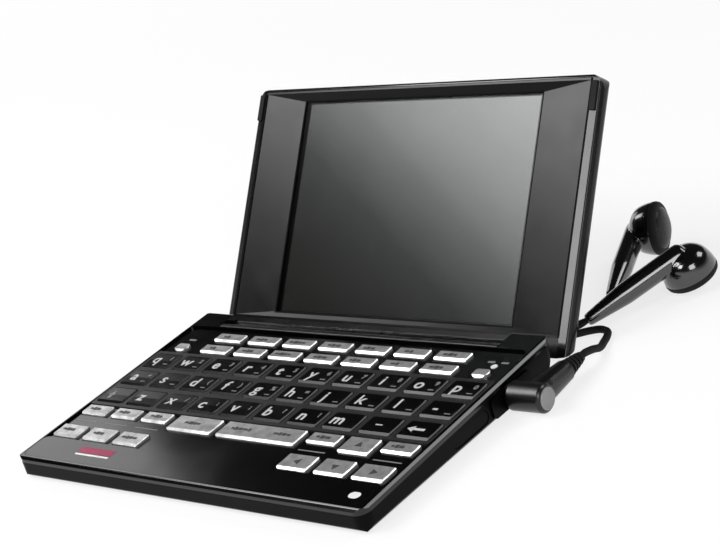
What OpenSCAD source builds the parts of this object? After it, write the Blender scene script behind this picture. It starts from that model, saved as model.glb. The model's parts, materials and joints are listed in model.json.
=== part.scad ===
// Pocket electronic dictionary: a clamshell with a keyboard base, a drop-hinged
// screen lid standing open, and earphones plugged into the right side.
// X runs left to right, Y from the front edge to the rear, Z up.

/* [Case] */
// Width of the base and of the lid
case_w = 112; // [106:1:124]
// Depth of the base, front edge to the tips of the hinge ears
case_d = 70.4; // [69:0.2:74]
// Height of the deck rim above the table at the front edge
front_h = 6; // [5.8:0.1:9]
// Slope of the deck, rising to the rear
deck_tilt = 2.1; // [0:0.1:4]
// Height of the rubber feet
foot_h = 0.5; // [0.3:0.1:1]
// Radius of the feet
foot_r = 2.5; // [1.5:0.1:2.8]
// Thickness of the side walls
wall = 1.2; // [0.9:0.1:1.6]
// Thickness of the floor of the bottom case
floor_t = 1; // [0.9:0.1:1.2]
// Plan radius of the case corners
corner_r = 3; // [1.5:0.5:5]
// Bevel round the deck rim
rim_bevel = 0.7; // [0.3:0.1:0.9]
// Bevel round the underside
under_bevel = 0.9; // [0.3:0.1:1.2]
// Depth of the joint line below the deck rim
joint_depth = 1.6; // [1.5:0.1:2]
// Running and fitting clearance
fit = 0.25; // [0.15:0.05:0.3]

/* [Keyboard] */
// Depth of the sunk key field below the rim
field_depth = 0.6; // [0.4:0.05:0.8]
// Thickness of the deck under the key field
deck_t = 0.9; // [0.7:0.05:0.9]
// Height of the key tops above the rim
key_proud = 0.15; // [0:0.05:0.2]
// Travel of the keys
key_travel = 0.5; // [0.3:0.05:0.5]
// Space between the outer letter keys and the sides of the case
key_edge = 2.45; // [2.2:0.05:3.5]
// Row pitch of the letter keys
row_pitch = 8.3; // [8:0.1:8.4]
// Width of a letter key
letter_w = 9; // [8:0.1:9.2]
// Depth of a letter key
letter_l = 6.2; // [5:0.1:6.6]
// Middle of the lowest letter row, from the front edge
letter_v = 29.3; // [29:0.1:29.6]
// Space between the outer function keys and the sides of the case
function_edge = 14.9; // [14:0.1:16]
// Width of a function key
function_w = 9.6; // [8.5:0.1:10]
// Depth of a function key
function_l = 3.4; // [2.8:0.1:3.6]
// Width of a silver cluster key
cluster_w = 8.8; // [8:0.1:9.2]

/* [Lid] */
// Border between the window and the free edge of the lid
lid_border = 3.6; // [3.2:0.1:4.4]
// Thickness of the lid
lid_t = 4.8; // [4.6:0.1:6]
// Angle at which the lid stands above the table when open
lid_stand = 53.4; // [50:0.2:70]
// Gap between the deck rim and the lid face when shut
lid_gap = 0.45; // [0.4:0.05:0.8]
// Radius of the long back edges of the lid
lid_edge_r = 2.6; // [1:0.2:3]
// Thickness of the back wall of the lid
lid_wall = 1.1; // [0.8:0.1:1.3]
// Width of the lit window
window_w = 77.4; // [60:0.2:80]
// Height of the lit window
window_h = 56; // [50:0.2:57]
// Lower edge of the window, from the hinge axis
window_v = 6.9; // [6.6:0.1:8]
// Depth of the sloped bezel at the window
bezel_slope = 0.8; // [0.4:0.1:0.9]

/* [Hinge] */
// Hinge axis, from the front edge of the base
hinge_y = 69; // [68.8:0.1:70]
// Height of the hinge axis above the table
hinge_z = 3.85; // [3.6:0.05:4.2]
// Radius of the hinge barrel
barrel_r = 3; // [2.4:0.1:3.2]
// Length of the hinge barrel between the ears
barrel_len = 90; // [70:1:94]
// Diameter of the steel hinge pins
pin_d = 1.6; // [1.2:0.1:2.4]

/* [Fittings] */
// Middle of the headphone socket, from the front edge
jack_y = 52; // [51:0.5:53]
// Height of the headphone socket above the table
jack_z = 3.5; // [3.5:0.05:3.6]
// Diameter of the plug contact
plug_d = 3.5; // [3.5:0.1:3.5]
// Diameter of the plug housing
plug_body_d = 6.7; // [6:0.1:6.9]
// Length of the battery cover
cover_l = 24; // [20:0.5:26]
// Travel of the battery cover
cover_travel = 8; // [4:0.5:12]
// Diameter of the loudspeaker
speaker_d = 16; // [12:0.5:18]
// Length of the rounded cover on the right side
slot_l = 13; // [11:0.5:14]

/* [Earphones] */
// Diameter of the earphone lead
lead_d = 1.8; // [1.8:0.1:1.8]
// Diameter of each earbud lead
bud_lead_d = 1.3; // [1.3:0.1:1.3]
// Diameter of an earbud head
bud_d = 13.4; // [12:0.2:15]

/* [Hidden] */
$fn = 48;
EPS = 0.02;

half_w = case_w / 2;
// Pitch of the ten columns of letter keys, and of the seven of function keys
key_pitch = (case_w - letter_w - 2 * key_edge) / 9;
function_pitch = (case_w - function_w - 2 * function_edge) / 6;
// Length of the lid from the hinge axis to its free edge
lid_len = window_v + window_h + lid_border;
under_z = foot_h;
floor_z = under_z + floor_t;
inner_w = case_w - 2 * wall;

// Deck plane in the side view
function deck_z(y) = front_h + y * tan(deck_tilt);
// Distance of the hinge axis below the deck plane
hinge_depth = (deck_z(hinge_y) - hinge_z) * cos(deck_tilt);
// Distance of the lid face from the hinge axis
face_off = hinge_depth + lid_gap;
back_off = face_off + lid_t;
// Swing of the lid from where it stands to where it shuts
lid_swing = 180 + deck_tilt - lid_stand;

// The furthest point to the rear is the rounded top edge of the lid
top_edge_r = 2.2;
rear_y = hinge_y + (lid_len - top_edge_r) * cos(lid_stand)
  + (back_off - top_edge_r) * sin(lid_stand) + top_edge_r;
shift_y = -rear_y / 2;

// Points of an arc round c, from angle a0 to a1
function arc(c, r, a0, a1, n = 8) =
  [for (i = [0 : n]) let (a = a0 + (a1 - a0) * i / n) c + r * [cos(a), sin(a)]];
// Outline of a rectangle with rounded corners, centred
function rounded(w, l, r, n = 8) = concat(
  arc([w / 2 - r, -l / 2 + r], r, -90, 0, n), arc([w / 2 - r, l / 2 - r], r, 0, 90, n),
  arc([-w / 2 + r, l / 2 - r], r, 90, 180, n), arc([-w / 2 + r, -l / 2 + r], r, 180, 270, n));

module placed() { translate([0, shift_y, 0]) children(); }
// Frame of the deck: Y along the slope, Z = 0 at the rim
module on_deck() { placed() translate([0, 0, front_h]) rotate([deck_tilt, 0, 0]) children(); }
// Frame of the lid: Y from the hinge axis to the free edge, Z towards the user
module on_lid() { placed() translate([0, hinge_y, hinge_z]) rotate([lid_stand, 0, 0]) children(); }
// A side view (y, z) stretched over a width along X
module across(w) { rotate([90, 0, 90]) translate([0, 0, -w / 2]) linear_extrude(w) children(); }
// A front view (x, z) stretched from y0 to y1
module along(y0, y1) { translate([0, y1, 0]) rotate([90, 0, 0]) linear_extrude(y1 - y0) children(); }
module box(x0, x1, y0, y1, z0, z1) { translate([x0, y0, z0]) cube([x1 - x0, y1 - y0, z1 - z0]); }
module mirrored() { children(); mirror([1, 0, 0]) children(); }

// Rear of the case between the ears, clear of the barrel
ear_in = barrel_len / 2 + 0.4;
mid_rear = hinge_y - barrel_r - 0.4;
// Front side of the neck that joins the barrel to the lid
neck_v = 2.2;
cover_rear = hinge_y - neck_v - 0.5;
ear_cut_x = half_w - 3;
cavity_rear = mid_rear - wall;

// Screw places, as [x, y]
screw_front = 5;
screw_rear = 61.2;
screw_x = half_w - 5;
screws = [for (x = [-screw_x, 0, screw_x], y = [screw_front, screw_rear]) [x, y]];
screw_head_r = 1.5;
screw_r = 0.55;
post_r = 1.8;
screw_post_z = 3.6;
screw_seat_z = under_z + 0.6;

foot_x = half_w - 6;
foot_front = 8;
foot_rear = 65;

// Battery cover and its bay, on the left
cover_w = half_w - 6;
cover_t = 0.9;
cover_tongue = 0.8;
cover_mid = screw_rear - post_r - 2 * cover_tongue - cover_l / 2;
cover_right = cover_w - half_w;

// Loudspeaker under the right half of the keyboard
speaker_x = 18;
speaker_y = 50;
speaker_t = 2;

// Slot on the right side, with the data port behind its cover
slot_y = 37;
slot_z = 3.4;
slot_h = 3;
slot_depth = 0.8;
port_w = 7.6;
port_len = 5.4;
port_z0 = 1.8;
port_z1 = 4;
port_wall = 0.3;

// Raised pad round the headphone socket
pad_out = 0.5;
pad_y0 = 44.8;
pad_y1 = 60;
pad_h = 4.6;
jack_body_w = 4.7;
jack_len = 12.6;
jack_top = 5.65;
jack_seat_z = 1.15;
jack_nose_r = 2.6;

// Key levels in the deck frame
key_top = key_proud;
deck_under = -field_depth - deck_t;
flange_top = deck_under - 0.1;
key_under = flange_top - 0.4;
membrane_top = key_under - key_travel - 0.2;
membrane_t = 0.4;
board_top = membrane_top - membrane_t - 0.05;
board_t = 0.6;
// The screws stop short of the pressed keys
screw_end = deck_z(screw_rear) + key_under - key_travel - 0.25;
function screw_tip(y) = min(deck_z(y) - field_depth - 1.2, screw_end);
field_front = 1.2;
field_rear = 63.4;
field_w = case_w - 2.4;
panel_rear = 9.4;

// Keys: [middle u, middle v, width, length, corner radius]
function column(i) = (i - 4.5) * key_pitch;
small_l = 3.8;
tall_l = 5.4;
row_gap = 2;
upper_v = letter_v - letter_l / 2 - row_gap - small_l / 2;
lower_v = panel_rear + 0.8 + tall_l / 2;
function letter_row(r) = [for (i = [0 : 9])
  [column(i), letter_v + r * row_pitch, letter_w, letter_l, 0.6]];
function function_row(v) = [for (i = [0 : 6])
  [(i - 3) * function_pitch, v, function_w, function_l, 0.5]];
function_lower_v = letter_v + 2 * row_pitch + letter_l / 2 + 2.6 + function_l / 2;
function_upper_v = function_lower_v + function_l + 2.2;
oval_w = 4.4;
oval_l = 3.2;
oval_u = half_w - 7.4;
oval_v = function_lower_v - 0.3;
wide_l = 5.8;
wide_v = letter_v - letter_l / 2 - row_gap + 0.1 - wide_l / 2;
// The two wide keys fill the columns between the clusters
wide_gap = 1.9;
wide_from = column(3) - letter_w / 2 + 0.3;
wide_to = column(6) + letter_w / 2 - 0.1;
narrow_wide_w = 14.6;
broad_wide_w = wide_to - wide_from - wide_gap - narrow_wide_w;
wide_left_u = wide_from + narrow_wide_w / 2;
wide_right_u = wide_to - broad_wide_w / 2;

letter_upper = letter_row(2);
letter_middle = letter_row(1);
letter_lower = letter_row(0);
function_upper = function_row(function_upper_v);
function_lower = function_row(function_lower_v);
power_at = [-oval_u, oval_v, oval_w, oval_l, 1.5];
sound_at = [oval_u, oval_v, oval_w, oval_l, 1.5];
index_at = [column(0), upper_v, cluster_w, small_l, 0.5];
shift_at = [column(1), upper_v, cluster_w, small_l, 0.5];
symbol_at = [column(2), upper_v, cluster_w, small_l, 0.5];
menu_at = [column(0), lower_v, cluster_w, tall_l - 0.6, 0.5];
back_at = [column(1), lower_v, cluster_w, tall_l - 0.6, 0.5];
jump_at = [column(2), lower_v, cluster_w, tall_l - 0.6, 0.5];
scroll_at = [wide_left_u, wide_v, narrow_wide_w, wide_l, 0.5];
list_at = [wide_right_u, wide_v, broad_wide_w, wide_l, 0.5];
page_up_at = [column(7), upper_v, cluster_w, small_l, 0.5];
up_at = [column(8), wide_v, cluster_w, wide_l, 0.5];
page_down_at = [column(9), upper_v, cluster_w, small_l, 0.5];
left_at = [column(7), lower_v, cluster_w, tall_l, 0.5];
down_at = [column(8), lower_v, cluster_w, tall_l, 0.5];
right_at = [column(9), lower_v, cluster_w, tall_l, 0.5];
small_keys = [power_at, sound_at];
cluster_keys = [index_at, shift_at, symbol_at, menu_at, back_at, jump_at, scroll_at, list_at,
  page_up_at, up_at, page_down_at, left_at, down_at, right_at];
flanged_keys = concat(letter_upper, letter_middle, letter_lower,
  function_upper, function_lower, cluster_keys);
all_keys = concat(flanged_keys, small_keys);
lamp_u = oval_u + 1;
lamp_v = oval_v + 3.6;
lamp_r = 0.8;

// Side view of the whole base, ears included
function base_side() = concat(
  [[0, under_z + under_bevel], [under_bevel, under_z], [hinge_y - 1.6, under_z]],
  arc([hinge_y, hinge_z], barrel_r, -90, 20, 10),
  [[case_d, hinge_z + barrel_r], [case_d, deck_z(case_d)], [0, deck_z(0)]]);
function plan() = [for (p = rounded(case_w, case_d, corner_r)) p + [0, case_d / 2]];

module base_solid() {
  intersection() {
    linear_extrude(20) polygon(plan());
    across(case_w) polygon(base_side());
    along(-1, case_d + 4) polygon([
      [-half_w, under_z + under_bevel], [-half_w + under_bevel, under_z],
      [half_w - under_bevel, under_z], [half_w, under_z + under_bevel], [half_w, 20], [-half_w, 20]]);
  }
}
// What lies below the joint line
module below_joint(drop = 0) {
  translate([0, 0, front_h]) rotate([deck_tilt, 0, 0])
    box(-case_w, case_w, -20, case_d + 20, -20, -joint_depth - drop);
}
module hinge_clearance() {
  box(-ear_in, ear_in, mid_rear, case_d + 10, -1, 20);
  mirrored() translate([ear_cut_x, 0, 0]) rotate([90, 0, 90])
    linear_extrude(10) polygon([[hinge_y - 3.4, 0], [case_d - 0.3, front_h],
      [case_d + 10, front_h], [case_d + 10, 0]]);
}
module screw_hole(x, y) {
  translate([x, y, 0]) {
    translate([0, 0, under_z - 1]) cylinder(r = screw_head_r + 0.1, h = screw_seat_z - under_z + 1);
    cylinder(r = screw_r + 0.15, h = 20);
  }
}
module cover_bay(grow, rise) {
  box(-half_w - 10, cover_right + grow, cover_mid - cover_l / 2 - grow, cover_mid + cover_l / 2 + grow,
    under_z - 1, under_z + cover_t / 2 + rise);
  box(-half_w - 10, cover_right + cover_tongue + grow, cover_mid - cover_l / 2 - cover_tongue - grow,
    cover_mid + cover_l / 2 + cover_tongue + grow, under_z + cover_t / 2 + rise, under_z + cover_t + rise);
}
module slot_shape(w, h, depth) {
  translate([half_w, slot_y, slot_z]) rotate([90, 0, 90])
    linear_extrude(2 * depth, center = true) polygon(rounded(w, h, h / 2 - 0.01, 6));
}

module bottom_case() color("#151517") placed() {
  difference() {
    union() {
      intersection() { base_solid(); below_joint(); }
      intersection() {
        translate([half_w - wall, 0, 0]) rotate([90, 0, 90]) linear_extrude(wall + pad_out)
          translate([(pad_y0 + pad_y1) / 2, jack_z]) polygon(rounded(pad_y1 - pad_y0, pad_h, 1, 4));
        below_joint(0.1);
      }
    }
    difference() {
      intersection() {
        translate([0, cavity_rear / 2 + wall / 2, 0]) linear_extrude(20)
          polygon(rounded(inner_w, cavity_rear - wall, corner_r - wall));
        box(-case_w, case_w, 0, case_d, floor_z, 20);
      }
      for (s = screws) translate([s[0], s[1], 0]) cylinder(r = post_r, h = screw_post_z);
    }
    hinge_clearance();
    for (s = screws) screw_hole(s[0], s[1]);
    cover_bay(0.15, 0.1);
    for (i = [-2 : 2]) translate([speaker_x + i * 2.4, speaker_y, 0])
      box(-0.5, 0.5, -5, 5, 0, floor_z + 1);
    mirrored() translate([ear_in - 1, hinge_y, hinge_z]) rotate([0, 90, 0]) cylinder(d = pin_d, h = 8);
    translate([half_w - wall - 1, jack_y, jack_z]) rotate([0, 90, 0])
      cylinder(r = jack_nose_r + 0.1, h = 4);
    box(half_w - wall - jack_len - 0.2, half_w - wall + EPS, jack_y - jack_body_w / 2 - 0.1,
      jack_y + jack_body_w / 2 + 0.1, jack_seat_z, floor_z + 1);
    slot_shape(slot_l + 0.3, slot_h + 0.3, slot_depth);
    box(half_w - wall - 1, half_w, slot_y - port_w / 2 - 0.1, slot_y + port_w / 2 + 0.1,
      port_z0 - 0.1, port_z1 + 0.1);
  }
}

// Prism of the deck plate with its bevelled rim
module deck_plate() {
  intersection() {
    translate([0, 0, -joint_depth]) linear_extrude(joint_depth) polygon(plan());
    across(case_w) polygon([[0, -joint_depth], [0, -rim_bevel], [rim_bevel, 0],
      [case_d - 0.4, 0], [case_d, -0.4], [case_d, -joint_depth]]);
    along(-1, case_d + 1) polygon([[-half_w, -joint_depth], [-half_w, -rim_bevel],
      [-half_w + rim_bevel, 0], [half_w - rim_bevel, 0], [half_w, -rim_bevel], [half_w, -joint_depth]]);
  }
}
module key_hole(k, gap) {
  translate([k[0], k[1], -5]) linear_extrude(10)
    polygon(rounded(k[2] + 2 * gap, k[3] + 2 * gap, k[4] + gap, 3));
}
// Flange that holds a key under the deck, or the room that it moves in
flange_rim = fit + 0.25;
module flange(k, z0, z1, gap) {
  translate([k[0], k[1], z0]) linear_extrude(z1 - z0)
    polygon(rounded(k[2] + 2 * (flange_rim + gap), k[3] + 2 * (flange_rim + gap), k[4], 3));
}
bar_front = field_rear + 0.5;
bar_depth = 0.9;
module top_case() color("#0d0d10") {
  difference() {
    on_deck() difference() {
      union() {
        difference() {
          deck_plate();
          translate([0, (wall + cavity_rear) / 2, -5]) linear_extrude(5 + deck_under)
            polygon(rounded(inner_w - 0.4, cavity_rear - wall - 0.4, corner_r - wall));
        }
        intersection() {
          union() {
            for (s = screws) translate([s[0], s[1], -8])
              cylinder(r = post_r - 0.2, h = 8 - field_depth - 0.3);
          }
          translate([0, 0, -front_h]) rotate([-deck_tilt, 0, 0])
            box(-case_w, case_w, -5, case_d, screw_post_z + 0.05, 20);
        }
      }
      translate([0, (field_front + field_rear) / 2, -field_depth]) linear_extrude(3)
        polygon(rounded(field_w, field_rear - field_front, 2));
      for (k = all_keys) key_hole(k, fit);
      for (k = function_upper) flange(k, key_under - key_travel - 0.1, deck_under, 0.2);
      translate([lamp_u, lamp_v, -5]) cylinder(r = lamp_r + 0.1, h = 10);
      box(-ear_in, ear_in, cover_rear, case_d + 5, -5, 5);
      box(-ear_in, ear_in, bar_front - 0.1, case_d + 5, -bar_depth, 5);
    }
    placed() for (s = screws) translate([s[0], s[1], 0])
      cylinder(r = screw_r + 0.05, h = screw_tip(s[1]) + 0.4);
  }
}
module palm_panel() color("#0a0a0c") on_deck() {
  translate([0, (field_front + panel_rear) / 2 + 0.1, -field_depth]) linear_extrude(field_depth - 0.05)
    polygon(rounded(field_w - 0.3, panel_rear - field_front, 1.9));
}
grid_w = field_w - 0.3;
grid_l = 2 * row_pitch + letter_l + 2.8;
grid_mid = letter_v + row_pitch;
module key_grid() color("#6f7074") on_deck() difference() {
  translate([0, grid_mid, -field_depth]) linear_extrude(field_depth - 0.12)
    polygon(rounded(grid_w, grid_l, 0.8));
  for (k = concat(letter_upper, letter_middle, letter_lower)) key_hole(k, fit + 0.05);
}
module hinge_cover() color("#202024") on_deck() {
  across(2 * ear_in - 0.5) polygon([[bar_front, -bar_depth], [bar_front, -0.2], [bar_front + 0.25, 0],
    [bar_front + 1.1, 0], [cover_rear - 0.1, -0.55], [cover_rear - 0.1, -bar_depth]]);
}

// A key cap: bevelled on all sides, the front bevel the broadest
bevel_front = 0.55;
bevel_side = 0.3;
module cap(k, under) {
  w = k[2];
  l = k[3];
  translate([k[0], k[1], 0]) intersection() {
    translate([0, 0, under]) linear_extrude(key_top - under) polygon(rounded(w, l, k[4], 3));
    across(w) polygon([[-l / 2, under], [-l / 2, key_top - bevel_front],
      [-l / 2 + bevel_front, key_top - 0.04], [0, key_top - 0.08],
      [l / 2 - bevel_side, key_top], [l / 2, key_top - bevel_side], [l / 2, under]]);
    along(-l / 2, l / 2) polygon([[-w / 2, under], [-w / 2, key_top - bevel_side],
      [-w / 2 + bevel_side, key_top], [w / 2 - bevel_side, key_top],
      [w / 2, key_top - bevel_side], [w / 2, under]]);
  }
}
module flanged_cap(k) {
  cap(k, key_under);
  flange(k, key_under, flange_top, 0);
}
module key_set(keys, tint) color(tint) on_deck() for (k = keys) flanged_cap(k);
oval_under = deck_under - 0.15;
module oval_key(k) color("#b9bbc0") on_deck() cap(k, oval_under);
module status_lamp() color("#f2f4f6") on_deck() translate([lamp_u, lamp_v, deck_under])
  cylinder(r = lamp_r, h = -deck_under - field_depth + 0.15);

jack_x0 = half_w - wall - jack_len;
port_x1 = half_w - slot_depth - 0.15;
port_x0 = port_x1 - port_len;
module jack_notch(gap) {
  box(jack_x0 - gap, case_w, jack_y - jack_body_w / 2 - gap, jack_y + jack_body_w / 2 + gap, -20, 20);
}
module port_notch(gap) {
  box(port_x0 - gap, case_w, slot_y - port_w / 2 - gap, slot_y + port_w / 2 + gap, -20, 20);
}
module inner_sheet(top, t, front, rear) {
  translate([0, (front + rear) / 2, top - t]) linear_extrude(t)
    polygon(rounded(inner_w - 0.8, rear - front, 1.4));
}
module post_holes(r) { for (s = screws) translate([s[0], s[1], -20]) cylinder(r = r, h = 40); }
sheet_front = 2.2;
sheet_rear = 63.6;
module key_membrane() color("#d8d8d0") on_deck() {
  difference() {
    union() {
      inner_sheet(membrane_top, membrane_t, sheet_front, sheet_rear);
      for (k = flanged_keys) translate([k[0], k[1], membrane_top - EPS])
        cylinder(r = 1.1, h = 0.1, $fn = 16);
    }
    post_holes(post_r + 0.4);
    jack_notch(0.4);
    translate([-oval_u, oval_v, -20]) cylinder(r = 3, h = 40);
  }
}
module main_board() color("#1f6b3f") on_deck() difference() {
  inner_sheet(board_top, board_t, sheet_front, sheet_rear);
  post_holes(post_r + 0.4);
  jack_notch(0.4);
  port_notch(0.2);
}
battery_w = cover_w - 5;
battery_l = cover_l - 2;
battery_z0 = under_z + cover_t + 0.2;
battery_t = 1.9;
module battery() color("#8b8f96") placed() {
  translate([cover_right - 0.4 - battery_w / 2, cover_mid, battery_z0]) linear_extrude(battery_t)
    polygon(rounded(battery_w, battery_l, 1.2, 4));
}
module battery_cover() color("#151517") placed() difference() {
  intersection() {
    union() {
      box(-half_w, cover_right, cover_mid - cover_l / 2, cover_mid + cover_l / 2,
        under_z, under_z + cover_t);
      box(-half_w, cover_right + cover_tongue, cover_mid - cover_l / 2 - cover_tongue,
        cover_mid + cover_l / 2 + cover_tongue, under_z + cover_t / 2 + 0.1, under_z + cover_t);
    }
    along(0, case_d) polygon([[-half_w + 0.02, under_z + under_bevel + 0.02],
      [-half_w + 0.02 + under_bevel, under_z], [half_w, under_z], [half_w, 20], [-half_w + 0.02, 20]]);
  }
  for (i = [-2 : 2])
    box(-half_w + 6 + i, -half_w + 6.5 + i, cover_mid - 6, cover_mid + 6, 0, under_z + 0.3);
}
module loudspeaker() color("#3a3a3e") placed() translate([speaker_x, speaker_y, floor_z]) {
  difference() {
    cylinder(d = speaker_d, h = speaker_t);
    translate([0, 0, -1]) cylinder(d = speaker_d - 3, h = 1.3);
  }
}
module headphone_jack() color("#2a2a2e") placed() difference() {
  union() {
    box(jack_x0, half_w - wall - 0.1, jack_y - jack_body_w / 2, jack_y + jack_body_w / 2,
      jack_seat_z, jack_top);
    translate([half_w - wall - 0.4, jack_y, jack_z]) rotate([0, 90, 0])
      cylinder(r = jack_nose_r, h = wall + 0.4 + pad_out - 0.1);
  }
  translate([jack_x0 - 1, jack_y, jack_z]) rotate([0, 90, 0]) cylinder(d = plug_d + 0.1, h = jack_len + 6);
}
module data_port() color("#8d9096") placed() difference() {
  box(port_x0, port_x1, slot_y - port_w / 2, slot_y + port_w / 2, port_z0, port_z1);
  box(port_x0 + 1, port_x1 + 1, slot_y - port_w / 2 + port_wall, slot_y + port_w / 2 - port_wall,
    port_z0 + port_wall, port_z1 - port_wall);
}
module slot_cover() color("#1b1b1e") placed() intersection() {
  slot_shape(slot_l, slot_h, slot_depth - 0.1);
  box(0, half_w - 0.15, 0, case_d, 0, 20);
}
module feet() color("#2b2b2e") placed()
  for (x = [-foot_x, foot_x], y = [foot_front, foot_rear]) translate([x, y, 0])
    cylinder(r = foot_r, h = foot_h);
module case_screws() color("#9a9ca0") placed() for (s = screws) translate([s[0], s[1], 0]) {
  translate([0, 0, screw_seat_z - 0.5]) difference() {
    cylinder(r = screw_head_r, h = 0.5);
    for (a = [0, 90]) rotate([0, 0, a]) cube([1.8, 0.35, 0.5], center = true);
  }
  translate([0, 0, screw_seat_z - EPS])
    cylinder(r = screw_r, h = screw_tip(s[1]) - screw_seat_z);
}
module hinge_pins() color("#c9ccd1") placed() mirrored()
  translate([ear_in - 7.4, hinge_y, hinge_z]) rotate([0, 90, 0]) cylinder(d = pin_d, h = 13);

// Lid: side view points on the line that runs level with the table
function level_v(z) = (-barrel_r - z * cos(lid_stand)) / sin(lid_stand);
rim_w = 2.7;
rim_fall = 0.5;
bezel_w = case_w - 2 * rim_w;
bezel_front = 4.9;
bezel_rear = lid_len - 0.9;
bezel_lip = 0.25;
pocket_z = -back_off + lid_wall;
module lid_body() {
  intersection() {
    across(case_w) polygon(concat(
      [[level_v(-face_off), -face_off], [level_v(-back_off + 1), -back_off + 1],
       [level_v(-back_off + 1) + 1, -back_off]],
      arc([lid_len - top_edge_r, -back_off + top_edge_r], top_edge_r, -90, 0),
      [[lid_len, -face_off - rim_fall], [bezel_rear + 0.2, -face_off]]));
    along(-5, lid_len + 5) polygon(concat(
      arc([half_w - lid_edge_r, -back_off + lid_edge_r], lid_edge_r, -90, 0),
      [[half_w, -face_off - 1.3], [half_w - 0.7, -face_off - rim_fall], [half_w - rim_w, -face_off],
       [-half_w + rim_w, -face_off], [-half_w + 0.7, -face_off - rim_fall], [-half_w, -face_off - 1.3]],
      arc([-half_w + lid_edge_r, -back_off + lid_edge_r], lid_edge_r, 180, 270)));
    translate([0, 0, -30]) linear_extrude(30) translate([0, lid_len / 2 - 10])
      polygon(rounded(case_w, lid_len + 20, corner_r + 0.5));
  }
}
bumper_l = 7;
bumper_w = 1.5;
bumper_v = lid_len - 8.6;
bumper_x = half_w - rim_w + 0.1 + bumper_w / 2;
module lid_shell() color("#0d0d10") on_lid() difference() {
  union() {
    lid_body();
    across(barrel_len) polygon([barrel_r * [-sin(lid_stand), -cos(lid_stand)],
      [level_v(-face_off - 1), -face_off - 1], [neck_v, -face_off - 1], [neck_v, 0], [0, 0]]);
    rotate([0, 90, 0]) cylinder(r = barrel_r, h = barrel_len, center = true);
  }
  box(-bezel_w / 2 + 0.6, bezel_w / 2 - 0.6, bezel_front + 0.6, bezel_rear - 0.6, pocket_z, 0);
  box(-bezel_w / 2 - 0.1, bezel_w / 2 + 0.1, bezel_front - 0.1, bezel_rear + 0.1, -face_off - 1.4, 0);
  mirrored() translate([barrel_len / 2 - 7.5, 0, 0]) rotate([0, 90, 0]) cylinder(d = pin_d + 0.1, h = 20);
  mirrored() box(bumper_x - bumper_w / 2 - 0.05, bumper_x + bumper_w / 2 + 0.05, bumper_v - 0.05,
    bumper_v + bumper_l + 0.05, -face_off - 0.8, 0);
}
// Sloped frame round the window
module lid_bezel() color("#1b191f") on_lid() {
  mid = (bezel_front + bezel_rear) / 2;
  window_mid = window_v + window_h / 2;
  difference() {
    box(-bezel_w / 2, bezel_w / 2, bezel_front, bezel_rear, -face_off - 1.4, -face_off - 0.05);
    hull() {
      translate([0, mid, -face_off - 0.05 - bezel_lip])
        cube([bezel_w - 1, bezel_rear - bezel_front - 1, EPS], center = true);
      translate([0, window_mid, -face_off - 0.05 - bezel_lip - bezel_slope])
        cube([window_w, window_h, EPS], center = true);
    }
    box(-bezel_w / 2 + 0.5, bezel_w / 2 - 0.5, bezel_front + 0.5, bezel_rear - 0.5,
      -face_off - 0.05 - bezel_lip, 0);
    box(-window_w / 2, window_w / 2, window_v, window_v + window_h, -face_off - 3, 0);
  }
}
glass_t = 0.7;
glass_top = -face_off - 1.45;
module screen_window() color([0.2, 0.22, 0.22]) on_lid() {
  box(-window_w / 2 - 1.2, window_w / 2 + 1.2, window_v - 1.1, window_v + window_h + 1.1,
    glass_top - glass_t, glass_top);
}
panel_top = glass_top - glass_t - 0.05;
module lcd_panel() color("#5b615c") on_lid() {
  box(-window_w / 2 - 2.5, window_w / 2 + 2.5, window_v - 1.2, window_v + window_h + 1.2,
    pocket_z + 0.05, panel_top);
}
module lid_bumpers() color("#070707") on_lid() mirrored()
  translate([bumper_x, bumper_v + bumper_l / 2, -face_off - 0.8]) linear_extrude(0.8 + lid_gap - 0.1)
    polygon(rounded(bumper_w, bumper_l, 0.3, 4));

// Earphones
plug_x = half_w + pad_out + 0.3;
plug_len = 9.2;
elbow_x = plug_x + plug_len - plug_body_d / 2;
arm_len = 12;
arm_tip_d = 5;
relief_len = 6.4;
relief_y = jack_y + arm_len;
relief_end = relief_y + relief_len;
module plug_contact() color("#d9c27a") placed() translate([0, jack_y, jack_z]) rotate([0, 90, 0]) {
  translate([0, 0, jack_x0 + 1.4]) cylinder(r1 = 0.9, r2 = plug_d / 2, h = 1.2);
  translate([0, 0, jack_x0 + 2.6]) cylinder(d = plug_d, h = plug_x - jack_x0 - 2.6);
}
module plug_body() color("#1c1c1f") placed() {
  translate([plug_x, jack_y, jack_z]) rotate([0, 90, 0]) {
    cylinder(r1 = plug_body_d / 2 - 0.4, r2 = plug_body_d / 2, h = 0.5);
    translate([0, 0, 0.5]) cylinder(d = plug_body_d, h = plug_len - 1);
    translate([0, 0, plug_len - 0.5]) cylinder(r1 = plug_body_d / 2, r2 = plug_body_d / 2 - 0.6, h = 0.6);
  }
  translate([elbow_x, jack_y, jack_z]) rotate([-90, 0, 0])
    cylinder(r1 = plug_body_d / 2, r2 = arm_tip_d / 2, h = arm_len);
}
module plug_relief() color("#232326") placed() translate([elbow_x, relief_y, jack_z]) rotate([-90, 0, 0]) {
  cylinder(r1 = 1.6, r2 = 1.2, h = relief_len);
  for (i = [0 : 4]) translate([0, 0, i * relief_len / 5])
    cylinder(r1 = 2.3 - i * 0.2, r2 = 2.1 - i * 0.2, h = 0.8);
}

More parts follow.
